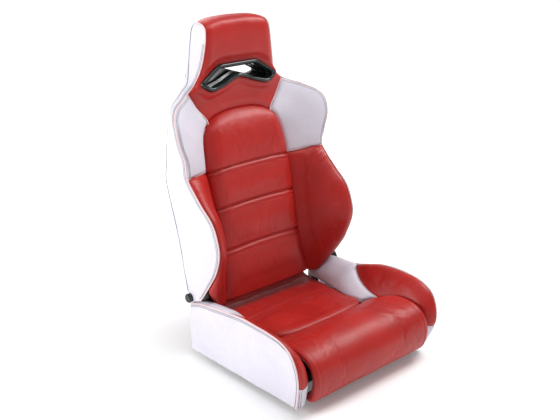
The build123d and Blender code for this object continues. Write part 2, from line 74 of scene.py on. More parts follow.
def run_length(points):
    steps = np.linalg.norm(np.diff(points, axis=0), axis=-1)
    return np.concatenate([[0], np.cumsum(steps)])


def at_run(points, run, wanted):
    """Points of a polyline at wanted distances along it."""
    return np.stack([np.interp(wanted, run, points[:, k]) for k in range(points.shape[1])], -1)


def placed(controls, shares, samples=24):
    """The smooth curve through controls, at shares (0 to 1) of its length."""
    dense = spline(controls, np.linspace(0, len(controls) - 1, samples * len(controls)))
    run = run_length(dense)
    return at_run(dense, run, np.asarray(shares) * run[-1])


def spread(count, crowding=0.6):
    """Shares from 0 to 1 that crowd towards both ends, where a panel turns into its seam."""
    s = np.linspace(0, 1, count)
    return (1 - crowding) * s + crowding * 0.5 * (1 - np.cos(pi * s))


# ---- surfaces
def coons(bottom, top, left, right, u, v):
    """Surface patch (rows, columns, 3) between four edges. u and v are the shares along them."""
    u, v = u[None, :, None], v[:, None, None]
    ruled_v = (1 - v) * bottom[None] + v * top[None]
    ruled_u = (1 - u) * left[:, None] + u * right[:, None]
    low = (1 - u) * bottom[0] + u * bottom[-1]
    high = (1 - u) * top[0] + u * top[-1]
    return ruled_v + ruled_u - (1 - v) * low - v * high


def patch(bottom, top, left, right, rows, columns):
    """The same from control points. bottom and top run from left to right, left and right upward."""
    u, v = spread(columns), spread(rows)
    return coons(placed(bottom, u), placed(top, u), placed(left, v), placed(right, v), u, v)


def loft(net, rows, columns, crowding=0.6):
    """Smooth surface through a net of control points (stations, points, 3)."""
    net = np.asarray(net, float)
    lines = np.stack([placed(station, spread(columns, crowding)) for station in net])
    return spline(lines, spread(rows, crowding) * (len(net) - 1))


def normals(grid):
    n = np.cross(np.gradient(grid, axis=1), np.gradient(grid, axis=0))
    return n / np.maximum(np.linalg.norm(n, axis=-1, keepdims=True), 1e-9)


def edge_distances(grid):
    """How far every point is from the patch's left, right, bottom and top edges, along the surface."""
    across = np.linalg.norm(np.diff(grid, axis=1), axis=-1)
    upward = np.linalg.norm(np.diff(grid, axis=0), axis=-1)
    left = np.pad(np.cumsum(across, 1), ((0, 0), (1, 0)))
    bottom = np.pad(np.cumsum(upward, 0), ((1, 0), (0, 0)))
    return {
        "left": left, "right": left[:, -1:] - left, "bottom": bottom, "top": bottom[-1:] - bottom,
    }


ROLL_ROUNDNESS = 0.6  # 0.5 would be an exact quarter circle


def fullness(grid, roll, free=""):
    """0 at the patch's seams, rising like a quarter circle to 1 at the distance roll from them.

    The edges named in free lie open: the patch stays full up to them.
    """
    full = np.ones(grid.shape[:2])
    for name, distance in edge_distances(grid).items():
        if name not in free:
            t = np.clip(distance / roll, 0, 1)
            full = full * (1 - (1 - t) ** 2) ** ROLL_ROUNDNESS
    return full


def puffed(grid, height, roll, tuck, free=""):
    """A patch stuffed from behind: it dips by tuck at its seams and rises to height between them."""
    rise = (height + tuck) * fullness(grid, roll, free) - tuck
    return grid + normals(grid) * np.broadcast_to(rise, grid.shape[:2])[..., None]


def bow(grid, height, centre=0.5, whole=False):
    """Bows a patch outward across its width. centre is where it is highest, from left to right."""
    u = np.linspace(0, 1, grid.shape[1]) ** (np.log(0.5) / np.log(centre))
    v = np.linspace(0, 1, grid.shape[0])
    lift = np.sin(pi * u)[None, :] * (1 if whole else np.sin(pi * v)[:, None] ** 0.5)
    return grid + normals(grid) * (height * lift * np.ones((len(v), 1)))[..., None]


CHANNEL_SHARPNESS = 1.25  # 1 is a pointed channel, 2 a round one
WELT_GROOVE = 0.4  # depth of the welt's far groove, of the channel's depth
WELT_HALF_WIDTH = 0.42  # of the flat welt's raised part, of its whole width


def sewn(grid, offset, depth, width=4.0, welt=0.0, welt_rise=1.5):
    """A sewn channel where offset (mm across the channel) is 0, with a flat welt on the minus side."""
    shift = -depth * np.exp(-np.abs(offset / width) ** CHANNEL_SHARPNESS)
    if welt:
        shift = shift - WELT_GROOVE * depth * np.exp(-((offset + welt) / (0.5 * width)) ** 2)
        shift = shift + welt_rise * np.exp(-(((offset + 0.5 * welt) / (WELT_HALF_WIDTH * welt)) ** 4))
    return grid + normals(grid) * shift[..., None]


CREASE_WAVES = 9


def creased(grid, size, wavelength, seed, where=1.0):
    """Faint folds in the cover: a sum of a few slow waves that cross each other."""
    generator = np.random.default_rng(seed)
    total = np.zeros(grid.shape[:2])
    for _ in range(CREASE_WAVES):
        direction = generator.normal(size=3)
        direction *= 2 * pi / (wavelength * generator.uniform(0.7, 1.8)) / np.linalg.norm(direction)
        total += np.sin(grid @ direction + generator.uniform(0, 2 * pi))
    return grid + normals(grid) * (size * total * where / 3)[..., None]


# ---- meshes
def linked(name, data):
    """A new object in the scene that shows these data."""
    thing = bpy.data.objects.new(name, data)
    bpy.context.scene.collection.objects.link(thing)
    return thing


def new_object(name, vertices, faces, material):
    mesh = bpy.data.meshes.new(name)
    mesh.from_pydata([tuple(v) for v in np.asarray(vertices) * MM], [], faces)
    mesh.polygons.foreach_set("use_smooth", [True] * len(mesh.polygons))
    mesh.materials.append(material)
    mesh.update()
    return linked(name, mesh)


SEAM_THINNESS = 0.4  # a panel's thickness at its seams, of its full thickness
THINNING_REACH = 15.0


def backing(grid, thickness):
    """The hidden side of a panel: its seam-level surface pushed inward, thinner towards the seams."""
    near = np.minimum.reduce(list(edge_distances(grid).values()))
    depth = thickness * np.clip(SEAM_THINNESS + near / THINNING_REACH, SEAM_THINNESS, 1.0)
    return grid - normals(grid) * depth[..., None]


def closed_panel(name, front, back, side, material, hole=None):
    """A padded piece: its front and back grids and the rims between them. side mirrors it.

    hole marks the cells (rows - 1, columns - 1) left out of both grids.
    """
    rows, columns = front.shape[:2]
    vertices = np.concatenate([front.reshape(-1, 3), back.reshape(-1, 3)]) * [side, 1, 1]
    count = rows * columns
    front_faces = []
    for r in range(rows - 1):
        for c in range(columns - 1):
            if hole is None or not hole[r, c]:
                a = r * columns + c
                front_faces.append((a, a + 1, a + columns + 1, a + columns))
    edges = {(f[k], f[(k + 1) % 4]) for f in front_faces for k in range(4)}
    rims = [(b, a, count + a, count + b) for a, b in sorted(edges) if (b, a) not in edges]
    faces = front_faces + [tuple(count + k for k in reversed(f)) for f in front_faces] + rims
    if side < 0:
        faces = [tuple(reversed(f)) for f in faces]
    used = sorted({k for f in faces for k in f})
    order = {old: new for new, old in enumerate(used)}
    return new_object(name, vertices[used], [tuple(order[k] for k in f) for f in faces], material)


SEAM_HOLD, SEAM_EASE = 12, 34  # mm held tight beside a seam, then easing off
CHANNEL_HOLD, CHANNEL_EASE = 9, 26  # the same beside a sewn channel


def looseness(grid, channel=None):
    """How loose the cover is: 0 near its seams and at channel (mm across it), up to 1 in the open."""
    loose = np.ones(grid.shape[:2])
    for distance in edge_distances(grid).values():
        loose = loose * np.clip((distance - SEAM_HOLD) / SEAM_EASE, 0, 1)
    if channel is None:
        return loose
    return loose * np.clip((np.abs(channel) - CHANNEL_HOLD) / CHANNEL_EASE, 0, 1)


STUFFING_FRAMES = 20
STUFFING_PRESSURE = 4.0
PIN_RELEASE = 0.94  # how far the loosest points are let off their pins
COVER_SURPLUS = 0.004  # how much larger each cover is cut than its seams


def pinned(piece, loose):
    """Gives a cover its pins and its cloth, with pressure inside and no gravity."""
    pins = piece.vertex_groups.new(name="pins")
    weights = np.ones(len(piece.data.vertices))
    weights[: loose.size] = 1 - PIN_RELEASE * loose.ravel()
    for index, weight in enumerate(weights):
        pins.add([index], float(weight), "REPLACE")
    cloth = piece.modifiers.new("stuffing", "CLOTH")
    cloth.point_cache.frame_start = 1
    cloth.point_cache.frame_end = STUFFING_FRAMES
    cloth.collision_settings.use_collision = False
    settings = cloth.settings
    settings.quality = 3
    settings.mass = 0.3
    settings.vertex_group_mass = "pins"
    settings.pin_stiffness = 0.6
    settings.use_pressure = True
    settings.uniform_pressure_force = STUFFING_PRESSURE
    settings.shrink_min = -COVER_SURPLUS
    settings.effector_weights.gravity = 0.0


def stuff(covers, cap):
    """Stuffs covers by cloth simulation, all at once. Nothing moves more than cap mm."""
    for piece, loose in covers:
        pinned(piece, loose)
    for number in range(1, STUFFING_FRAMES + 1):
        bpy.context.scene.frame_set(number)
    graph = bpy.context.evaluated_depsgraph_get()
    shapes = []
    for piece, _ in covers:
        shapes.append(np.array([vertex.co for vertex in piece.evaluated_get(graph).data.vertices]))
    for (piece, _), after in zip(covers, shapes):
        piece.modifiers.clear()
        piece.vertex_groups.clear()
        before = np.array([vertex.co for vertex in piece.data.vertices])
        move = after - before
        size = np.linalg.norm(move, axis=1, keepdims=True) + 1e-9
        move = move * np.tanh(size / (cap * MM)) * cap * MM / size
        piece.data.vertices.foreach_set("co", (before + move).ravel())
        piece.data.update()
    bpy.context.scene.frame_set(1)


NO_SEAM_DIRECTION = [0.13, 0.31, 0.94]  # no bead starts along it, so it can turn the first ring


def bead(name, path, radius, material, sides=10):
    """A round bead, such as piping, along a path, closed at both ends."""
    p = np.asarray(path, float)
    tangents = np.gradient(p, axis=0)
    tangents /= np.linalg.norm(tangents, axis=1, keepdims=True)
    angles = np.arange(sides) * 2 * pi / sides
    axis = np.cross(tangents[0], NO_SEAM_DIRECTION)
    rings = []
    for point, tangent in zip(p, tangents):
        axis = axis - tangent * (axis @ tangent)
        axis /= np.linalg.norm(axis)
        other = np.cross(tangent, axis)
        rings.append(point + radius * (np.cos(angles)[:, None] * axis + np.sin(angles)[:, None] * other))
    return new_object(name, np.concatenate(rings), skin(0, len(p), sides), material)


def skin(first, rings, sides, joined=False):
    """Faces through rings of vertices numbered from first: closed by caps, or joined end to end."""
    faces = []
    for k in range(rings if joined else rings - 1):
        base, after = first + k * sides, first + (k + 1) % rings * sides
        for j in range(sides):
            n = (j + 1) % sides
            faces.append((base + j, base + n, after + n, after + j))
    if not joined:
        last = first + (rings - 1) * sides
        faces += [tuple(reversed(range(first, first + sides))), tuple(range(last, last + sides))]
    return faces


def beside(grid, edge, distance):
    """The line on a surface that runs beside one of its edges, distance away from it."""
    lines = {
        "left": grid,
        "right": grid[:, ::-1],
        "bottom": grid.transpose(1, 0, 2),
        "top": grid[::-1].transpose(1, 0, 2),
    }[edge]
    return np.array([at_run(line, run_length(line), [distance])[0] for line in lines])


# Sections of one stitch: (share of its length, size, lift off the leather), the last two in radii.
STITCH_SECTIONS = ((0.0, 0.3, -0.5), (0.2, 1.0, 0.2), (0.8, 1.0, 0.2), (1.0, 0.3, -0.5))
STITCH_SIDES = 6


def stitches(name, path, outward, material, pitch=4.4, length=3.7, radius=0.8):
    """A row of thread stitches along a path that lies on a surface with these outward normals."""
    run = run_length(path)
    shares = np.array([section[0] for section in STITCH_SECTIONS])
    vertices, faces = [], []
    for start in np.arange(pitch / 2, run[-1] - length, pitch):
        points = at_run(path, run, start + shares * length)
        ups = at_run(outward, run, start + shares * length)
        ups /= np.linalg.norm(ups, axis=1, keepdims=True)
        along = points[-1] - points[0]
        along /= np.linalg.norm(along)
        first = len(vertices)
        for point, up, (_, size, lift) in zip(points, ups, STITCH_SECTIONS):
            sideways = np.cross(along, up)
            for k in range(STITCH_SIDES):
                a = 2 * pi * k / STITCH_SIDES
                spoke = cos(a) * sideways + sin(a) * up
                vertices.append(point + radius * (lift * up + size * spoke))
        faces += skin(first, len(STITCH_SECTIONS), STITCH_SIDES)
    return new_object(name, vertices, faces, material)


def declare(piece, body, slot, *nodes):
    """Says what a piece rides on and the CAD nodes that it replaces, if any; its material slot is not used."""
    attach(piece, body)
    if nodes:
        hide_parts(*nodes)


def seam_rows(name, grid, edge, distances, side, material, body, part):
    """Rows of stitches beside part of one edge of a panel's finished surface."""
    for number, distance in enumerate(distances, 1):
        path = beside(grid, edge, distance)[part]
        up = beside(grid + normals(grid), edge, distance)[part] - path
        row = stitches(f"{name}_{number}", path * [side, 1, 1], up * [side, 1, 1], material)
        declare(row, body, "red_leather" if material is RED_THREAD else "white_leather")


# ---- materials
def node_material(name):
    material = bpy.data.materials.new(name)
    material.use_nodes = True
    tree = material.node_tree
    return material, tree, tree.nodes["Principled BSDF"]


def feed(tree, node, inputs):
    """Links or sets a node's inputs: a socket is linked, any other value is set."""
    for key, value in inputs.items():
        if isinstance(value, bpy.types.NodeSocket):
            tree.links.new(value, node.inputs[key])
        else:
            node.inputs[key].default_value = value


def add_node(tree, kind, inputs, **settings):
    node = tree.nodes.new(kind)
    for key, value in settings.items():
        setattr(node, key, value)
    feed(tree, node, inputs)
    return node


def object_place(tree):
    return add_node(tree, "ShaderNodeTexCoord", {}).outputs["Object"]


def noise(tree, place, scale, detail):
    inputs = {"Vector": place, "Scale": scale, "Detail": detail}
    return add_node(tree, "ShaderNodeTexNoise", inputs).outputs["Fac"]


def bump(tree, strength, distance, height, **more):
    inputs = {"Strength": strength, "Distance": distance, "Height": height, **more}
    return add_node(tree, "ShaderNodeBump", inputs).outputs["Normal"]


def ramp(tree, factor, stops):
    """Colour ramp with stops of (position, grey or rgb)."""
    node = add_node(tree, "ShaderNodeValToRGB", {"Fac": factor})
    elements = node.color_ramp.elements
    while len(elements) < len(stops):
        elements.new(0.5)
    for element, (position, colour) in zip(elements, stops):
        rgb = (colour,) * 3 if isinstance(colour, (int, float)) else colour
        element.position = position
        element.color = (*rgb, 1)
    return node.outputs["Color"]


def leather(name, base, shade, roughness, grain=1.0, coat=0.0):
    """Grained leather: pebbled cells with creases between them, painted shade in the creases, slow colour change
    and fine pores.
    """
    material, tree, shader = node_material(name)
    place = object_place(tree)
    drift = noise(tree, place, 9.0, 3.0)
    cells = add_node(
        tree, "ShaderNodeTexVoronoi", {"Vector": place, "Scale": 520.0 / grain, "Randomness": 0.9},
        feature="DISTANCE_TO_EDGE",
    )
    pores = noise(tree, place, 1500.0, 2.0)
    soft = noise(tree, place, 55.0, 4.0)
    creases = ramp(tree, cells.outputs["Distance"], [(0.0, 0.0), (0.16, 0.85), (0.5, 1.0)])
    tint = ramp(tree, drift, [(0.3, shade), (0.7, base)])
    # painted shade: the colour is darkened along the grain's creases
    crease_shade = ramp(tree, creases, [(0.0, 0.62), (0.5, 1.0)])
    mixed = add_node(
        tree, "ShaderNodeMix", {"Factor": 1.0, "A": tint, "B": crease_shade},
        data_type="RGBA", blend_type="MULTIPLY",
    )
    gloss = ramp(tree, soft, [(0.3, roughness - 0.05), (0.7, roughness + 0.06)])
    height = add_node(tree, "ShaderNodeMath", {0: pores, 1: 0.25, 2: creases}, operation="MULTIPLY_ADD")
    fine = bump(tree, 0.35, 0.0003, height.outputs[0])
    feed(tree, shader, {
        "Base Color": mixed.outputs["Result"], "Roughness": gloss,
        "Normal": bump(tree, 0.3, 0.0012, soft, Normal=fine),
        "Specular IOR Level": 0.38, "Coat Weight": coat, "Coat Roughness": 0.3,
    })
    return material


def moulded(name, base, roughness, speckle=0.0, metal=0.0, brushed=False):
    """Moulded plastic, paint or plated steel: slow waviness, fine texture and uneven gloss."""
    material, tree, shader = node_material(name)
    place = object_place(tree)
    if brushed:
        stretched = {"Vector": place, "Scale": (0.06, 1.0, 1.0)}
        place = add_node(tree, "ShaderNodeMapping", stretched).outputs["Vector"]
    wear = noise(tree, place, 38.0, 5.0)
    fine = noise(tree, place, 900.0, 2.0)
    lighter = tuple(min(1.0, c * 1.35 + 0.004) for c in base)
    feed(tree, shader, {
        "Base Color": ramp(tree, wear, [(0.35, base), (0.72, lighter)]),
        "Roughness": ramp(tree, wear, [(0.3, roughness * 0.8), (0.75, roughness * 1.3)]),
        "Normal": bump(tree, 0.1 + speckle, 0.0002, fine),
        "Metallic": metal,
    })
    return material


RED = leather("red_leather_grain", (0.50, 0.015, 0.010), (0.40, 0.011, 0.008), 0.38, coat=0.04)
WHITE = leather("white_leather_grain", (0.74, 0.715, 0.80), (0.69, 0.66, 0.75), 0.46)
PIPING = leather("pink_white_piping", (0.90, 0.72, 0.72), (0.84, 0.62, 0.63), 0.42, grain=0.6)
THREAD = leather("grey_thread", (0.16, 0.14, 0.18), (0.11, 0.10, 0.13), 0.7, grain=0.35)
RED_THREAD = leather("red_thread", (0.30, 0.012, 0.012), (0.22, 0.008, 0.008), 0.6, grain=0.35)
GLOSS_BLACK = moulded("gloss_black_plastic", (0.006, 0.010, 0.009), 0.16)
SATIN_BLACK = moulded("satin_black_plastic", (0.012, 0.013, 0.013), 0.42, speckle=0.3)
FRAME_PAINT = moulded("black_frame_paint", (0.018, 0.018, 0.020), 0.38, speckle=0.15)
ZINC = moulded("zinc_plated_steel", (0.50, 0.50, 0.47), 0.32, metal=1.0, brushed=True)
SPRING_STEEL = moulded("oiled_spring_steel", (0.16, 0.16, 0.165), 0.35, metal=1.0, brushed=True)
SLOT_MATERIALS = {
    "red_leather": RED, "white_leather": WHITE, "black_plastic": GLOSS_BLACK,
    "frame_paint": FRAME_PAINT, "zinc_steel": ZINC, "spring_steel": SPRING_STEEL,
}
for part in frame["record"]["subparts"]:
    node = frame["nodes"][part["node"]]
    node.data.materials.clear()
    node.data.materials.append(SLOT_MATERIALS[part["material_slot"]])


# ---- the cover's seam lines
# Backrest: (across, rearward, up the back) from the hinge, sitter's left half, listed upward.
PAD_SIDE = [
    (166, -30, -33), (158, -28, 20), (154, -26, 60), (153, -24, 150), (155, -20, 230), (157, -14, 300),
    (157, -8, 345), (151, -4, 415), (140, -2.5, 455), (119, -2.5, 482),
]
PAD_ARCH = [(119, -2.5, 482), (85, -2, 498), (45, -2, 506), (0, -2, 508)]
BOLSTER_INNER = [(165, -30, -33)] + PAD_SIDE[1:7]
WING_INNER = PAD_SIDE[6:]
BOLSTER_BOTTOM = [(165, -30, -33), (184, -36, -38), (208, -46, -28), (236, -64, 6), (257, -84, 38)]
BOLSTER_OUTER = [
    (257, -84, 38), (260, -102, 54), (262, -132, 85), (262, -158, 131), (262, -162, 173),
    (262, -148, 228), (262, -106, 281), (260, -63, 347),
]
WING_BOTTOM = [(157, -8, 345), (190, -27, 346), (225, -46, 347), (260, -63, 347)]
WING_OUTER = [
    (260, -63, 347), (266, -73, 397), (281, -80, 443), (283, -77, 488), (272, -60, 515),
    (240, -32, 540), (205, -15, 556), (178, -5, 572),
]
WING_TOP = [(119, -2.5, 482), (150, -1.5, 525), (166, -3, 552), (178, -5, 572)]
HEAD_SIDE = WING_TOP[:3] + [
    (174, -5, 572), (150, -6, 594), (132, -27, 642), (121, -43, 700), (117, -47, 736), (115, -38, 751),
    (112, -18, 760), (108, 4, 764),
]
HEAD_TOP = [(108, 4, 764), (60, 6, 772), (0, 6, 774)]
# Front and rear seams of the side cover, point for point.
COVER_FRONT = [
    (262, -40, -6), (262, -70, 22), (262, -96, 47), *BOLSTER_OUTER[2:], *WING_OUTER[1:], *HEAD_SIDE[4:],
]
COVER_REAR = [
    (262, 14, -14), (262, 14, 14), (263, 14, 44), (264, 14, 85), (264, 14, 131), (264, 16, 173),
    (265, 21, 228), (265, 28, 281), (265, 34, 347), (267, 14, 400), (270, -2, 443), (268, -16, 490),
    (254, -14, 520), (228, 2, 547), (199, 14, 563), (176, 26, 577), (149, 28, 599), (135, 30, 642),
    (121, 28, 700), (117, 21, 734), (115, 16, 748), (112, 12, 757), (108, 8, 763),
]
# Rear cover: heights, and half sections (across, rearward) from the middle to the side cover's seam.
REAR_COVER = [
    (-30, [(0, 44), (120, 44), (205, 42), (248, 34), (262, 14)]),
    (44, [(0, 50), (120, 50), (205, 47), (248, 38), (263, 14)]),
    (150, [(0, 62), (120, 61), (205, 56), (248, 44), (264, 15)]),
    (228, [(0, 69), (120, 68), (205, 62), (249, 50), (265, 21)]),
    (300, [(0, 77), (120, 75), (205, 67), (248, 55), (265, 30)]),
    (347, [(0, 82), (120, 80), (200, 72), (244, 58), (265, 34)]),
    (400, [(0, 86), (120, 84), (190, 75), (234, 48), (267, 14)]),
    (443, [(0, 89), (120, 87), (185, 75), (230, 40), (270, -2)]),
    (490, [(0, 92), (118, 89), (180, 76), (226, 36), (268, -16)]),
    (520, [(0, 92), (115, 90), (172, 76), (216, 38), (254, -14)]),
    (547, [(0, 91), (110, 89), (160, 76), (198, 46), (228, 2)]),
    (563, [(0, 90), (104, 88), (148, 74), (180, 48), (199, 14)]),
    (577, [(0, 89), (98, 86), (138, 72), (163, 49), (176, 26)]),
    (599, [(0, 87), (92, 84), (124, 70), (142, 48), (149, 28)]),
    (642, [(0, 79), (88, 76), (114, 63), (129, 46), (135, 30)]),
    (700, [(0, 62), (84, 59), (104, 51), (116, 41), (121, 28)]),
    (734, [(0, 40), (80, 38), (98, 33), (110, 28), (117, 21)]),
    (754, [(0, 24), (78, 23), (94, 20), (107, 16), (113, 13)]),
    (764, [(0, 8), (60, 8), (84, 8), (98, 8), (108, 8)]),
]

# Seat base, sitter's left half. The crest is the outer seam, listed from rear to front and down.
CREST = [
    (262, 201, 166), (262, 150, 181), (261, 107, 187), (258, 65, 190), (257, 28, 194), (264, -15, 204),
    (274, -60, 214), (280, -110, 217), (281, -155, 216), (281, -200, 210), (281, -232, 197),
    (281, -252, 179), (280, -266, 150), (278, -271, 120), (275, -269, 95), (264, -254, 50),
    (257, -243, 18),
]
CREST_WEDGE_END, CREST_CORNER = 4, 10  # where the rear wedge ends and the front corner turns
CUSHION_SIDE = [(177, -60, 123), (175, 0, 121), (186, 60, 120), (198, 117, 118), (206, 192, 115)]
# Seat bolster: stations from rear to front, each from its inner seam out to the crest.
WEDGE_SEAM = [(215, -97, 135), (218, -58, 143), (229, -12, 159), (246, 22, 180), (257, 28, 194)]
BOLSTER_STATIONS = [
    WEDGE_SEAM[:-1],
    [(219, -110, 138), (223, -75, 154), (237, -38, 177), (254, -8, 197)],
    [(224, -128, 142), (229, -100, 163), (243, -75, 187), (261, -58, 208)],
    [(229, -150, 146), (234, -136, 168), (247, -122, 191), (265, -112, 211)],
    [(232, -182, 148), (237, -178, 169), (249, -172, 190), (266, -162, 209)],
    [(234, -210, 146), (239, -210, 166), (251, -208, 185), (267, -203, 203)],
    [(235, -232, 138), (240, -236, 156), (252, -238, 173), (267, -236, 190)],
    [(235, -246, 126), (241, -254, 141), (253, -258, 157), (268, -257, 172)],
    [(235, -254, 114), (241, -262, 123), (253, -269, 134), (268, -271, 145)],
    [(235, -258, 104), (241, -266, 108), (253, -274, 113), (268, -277, 118)],
    [(235, -262, 98), (241, -268, 96), (252, -274, 94), (266, -275, 93)],
]
BOLSTER_NET = [
    station + [crest] for station, crest in zip(BOLSTER_STATIONS, CREST[CREST_WEDGE_END:])
]
# Front roll: (y, z) round its front from the bottom, and its half width at each of them.
ROLL_PROFILE = [
    (-232, 31), (-258, 30), (-276, 46), (-286, 78), (-285, 108), (-272, 138), (-245, 159), (-208, 167),
    (-168, 165), (-131, 154), (-98, 141),
]
ROLL_HALF = [220, 224, 226, 227, 227, 227, 227, 227, 226, 222, 208]
# Belt slot bezel in the headrest, from its middle to its tip and back: (across, up the back).
BEZEL_HALF = [(0, 600), (31, 590), (50, 581), (106, 566), (142, 590), (125, 604), (71, 638), (0, 638)]
SLOT_HALF = [(0, 611), (28, 602), (52, 592), (104, 578), (127, 589), (110, 600), (66, 627), (0, 627)]
BEZEL_PLANE = -22.0  # how far rearward the headrest lies flat round the slot


def right_of(half):
    """The right half's copy of a curve from the left half."""
    return np.asarray(half, float) * [-1, 1, 1]


def mirror_across(half):
    """A curve from the left half that ends on the middle line, carried on to the right half."""
    return np.concatenate([np.asarray(half, float), right_of(half)[-2::-1]])


LOOSE_COVERS = []


def add_panel(name, surface, back, side, material, body, node, to_row=None, hole=None, loose=None):
    if to_row:
        surface, back = to_row(surface), to_row(back)
    piece = closed_panel(name, surface, back, side, material, hole)
    if loose is not None:
        LOOSE_COVERS.append((piece, loose))
    declare(piece, body, "white_leather" if material is WHITE else "red_leather", node)


def add_piping(name, path, radius, side, body, material):
    declare(bead(name, path * [side, 1, 1], radius, material), body, "white_leather")


# ---- backrest: centre pad
PAD_CHANNELS = (105, 230, 340)
PAD_BOTTOM, PAD_TOP = -45, 500  # levels where the lowest and the highest pillow end
PAD_DEPTH, LUMBAR_DEPTH = 19.0, 40.0  # how proud the pad stands at its top and further down
SHOULDERS, SHOULDER_RISE = 320, 190  # from here on up the pad gets flatter
PILLOW = 2.6
CHANNEL_WELT = 12.0
SAG_REACH = 150  # half the width over which a channel sags


def channel_sag(x, drop):
    """How far below its ends' height a channel lies, across the seat."""
    return drop * (1 - (x / SAG_REACH) ** 2)


def centre_pad():
    bottom, arch = mirror_across([PAD_SIDE[0], (0, -31, -35)])[::-1], mirror_across(PAD_ARCH)[::-1]
    seam = patch(bottom, arch, right_of(PAD_SIDE), PAD_SIDE, 180, 84)
    height = seam[..., 2]
    to_top = np.clip((height - SHOULDERS) / SHOULDER_RISE, 0, 1)
    crown = -LUMBAR_DEPTH + (LUMBAR_DEPTH - PAD_DEPTH) * to_top ** 2
    surface = puffed(seam, np.maximum(seam[..., 1] - crown, 4.0), roll=46, tuck=6, free="bottom")
    for low, high in zip((PAD_BOTTOM,) + PAD_CHANNELS, PAD_CHANNELS + (PAD_TOP,)):
        share = np.clip((height - low) / (high - low), 0, 1)
        pillow = PILLOW * np.sin(pi * share) ** 0.7 * fullness(seam, 40)
        surface = surface + normals(surface) * pillow[..., None]
    sag = channel_sag(seam[..., 0], 5.0)
    for level in PAD_CHANNELS:
        surface = sewn(surface, height - level - sag, 9.0, width=3.4, welt=CHANNEL_WELT)
    surface = creased(surface, 0.35, 60, seed=3)
    channel = np.min([np.abs(height - level + 0.5 * CHANNEL_WELT) for level in PAD_CHANNELS], axis=0)
    add_panel(
        "centre_pad_cover", surface, backing(seam, 16), 1, RED, BACK, "centre_pad", from_back,
        loose=looseness(seam, channel),
    )
    columns = np.arange(4, seam.shape[1] - 4)
    bottom_sag = channel_sag(seam[0, :, 0], 5.0)
    for number, level in enumerate(PAD_CHANNELS, 1):
        rows = np.abs(height - level + CHANNEL_WELT - bottom_sag).argmin(axis=0)[columns]
        path = from_back(surface[rows, columns])
        up = from_back((surface + normals(surface))[rows, columns]) - path
        row = stitches(f"centre_pad_stitches_{number}", path, up, RED_THREAD, radius=0.45)
        declare(row, BACK, "red_leather")


centre_pad()


# ---- backrest: side bolsters, wings, headrest
def inside_seam(grid, seam, gap):
    """Keeps a panel's points inward of its outer seam, so that they stay behind the side cover."""
    limit = seam[:, -1:, 0] - gap
    return np.concatenate([np.minimum(grid[..., :1], limit[..., None]), grid[..., 1:]], -1)


BOLSTER_TOP, BOLSTER_TOP_MIDDLE = 347, 238  # where the wing's seam wrinkles the bolster
UNDER_PAD = [-11.0, 3.0, 0.0]  # how far the bolster's inner edge runs in under the pad


def back_bolster(name, side):
    seam = patch(BOLSTER_BOTTOM, WING_BOTTOM, BOLSTER_INNER, BOLSTER_OUTER, 90, 56)
    bowed = bow(seam, 17, centre=0.66)
    surface = puffed(bowed, 5, roll=18, tuck=5, free="bottom")
    surface = sewn(surface, edge_distances(seam)["left"], 4.0, width=9.0)
    surface = creased(surface, 0.5, 70, seed=5)
    near_top = np.exp(-((BOLSTER_TOP - seam[..., 2]) / 34) ** 2)
    near_corner = near_top * np.exp(-((seam[..., 0] - BOLSTER_TOP_MIDDLE) / 26) ** 2)
    surface = creased(surface, 2.6, 20, seed=6, where=near_corner)
    under_pad = np.exp(-((edge_distances(seam)["left"] / 8) ** 2))[..., None] * UNDER_PAD
    surface = surface + under_pad
    back = inside_seam(backing(seam, 12), seam, 8) + under_pad
    add_panel(
        f"back_bolster_cover_{name}", surface, back, side, RED, BACK,
        f"back_bolster_{name}", from_back, loose=looseness(seam),
    )
    seam_rows(
        f"back_bolster_stitches_{name}", from_back(surface), "right", [9.0], side, RED_THREAD, BACK,
        slice(3, 86),
    )


def wing(name, side):
    seam = patch(WING_BOTTOM, WING_TOP, WING_INNER, WING_OUTER, 64, 56)
    surface = puffed(bow(seam, 6), 5, roll=14, tuck=4)
    surface = creased(surface, 0.4, 80, seed=7)
    add_panel(
        f"shoulder_wing_{name}", surface, inside_seam(backing(seam, 12), seam, 8), side, WHITE, BACK,
        f"wing_{name}", from_back,
    )
    seam_rows(
        f"wing_stitches_{name}", from_back(surface), "right", [10.0, 14.0], side, THREAD, BACK,
        slice(2, 62),
    )


LARGEST_CUT = 0.46  # a rounded corner takes at most this share of the edges beside it


def rounded_loop(half, radius, count):
    """Closed outline from its left half, with rounded corners, as count evenly spaced points."""
    corners = np.array(half + [(-x, v) for x, v in reversed(half[1:-1])], float)
    points = []
    for before, corner, after in zip(np.roll(corners, 1, 0), corners, np.roll(corners, -1, 0)):
        start, end = (
            corner + min(radius / np.linalg.norm(leg), LARGEST_CUT) * leg
            for leg in (before - corner, after - corner)
        )
        for t in np.linspace(0, 1, 9):
            points.append((1 - t) ** 2 * start + 2 * t * (1 - t) * corner + t * t * end)
    points.append(points[0])
    points = np.array(points)
    run = run_length(points)
    return at_run(points, run, np.arange(count) * run[-1] / count)


def grown(loop, margin):
    """A closed outline moved outward by margin."""
    along = np.roll(loop, -1, 0) - np.roll(loop, 1, 0)
    along /= np.linalg.norm(along, axis=1, keepdims=True)
    return loop + margin * np.stack([along[:, 1], -along[:, 0]], -1)


def add_ring(name, loops, material, node):
    """A part of the belt slot: skin through closed loops, the last joined to the first."""
    outward = [(f[0], *f[:0:-1]) for f in skin(0, len(loops), len(loops[0]), joined=True)]
    ring = new_object(name, from_back(np.concatenate(loops)), outward, material)
    declare(ring, BACK, "black_plastic", node)


BEZEL_LOOP = grown(rounded_loop(BEZEL_HALF, 14, 180), 3.0)
SLOT_LOOP = rounded_loop(SLOT_HALF, 9, 180)


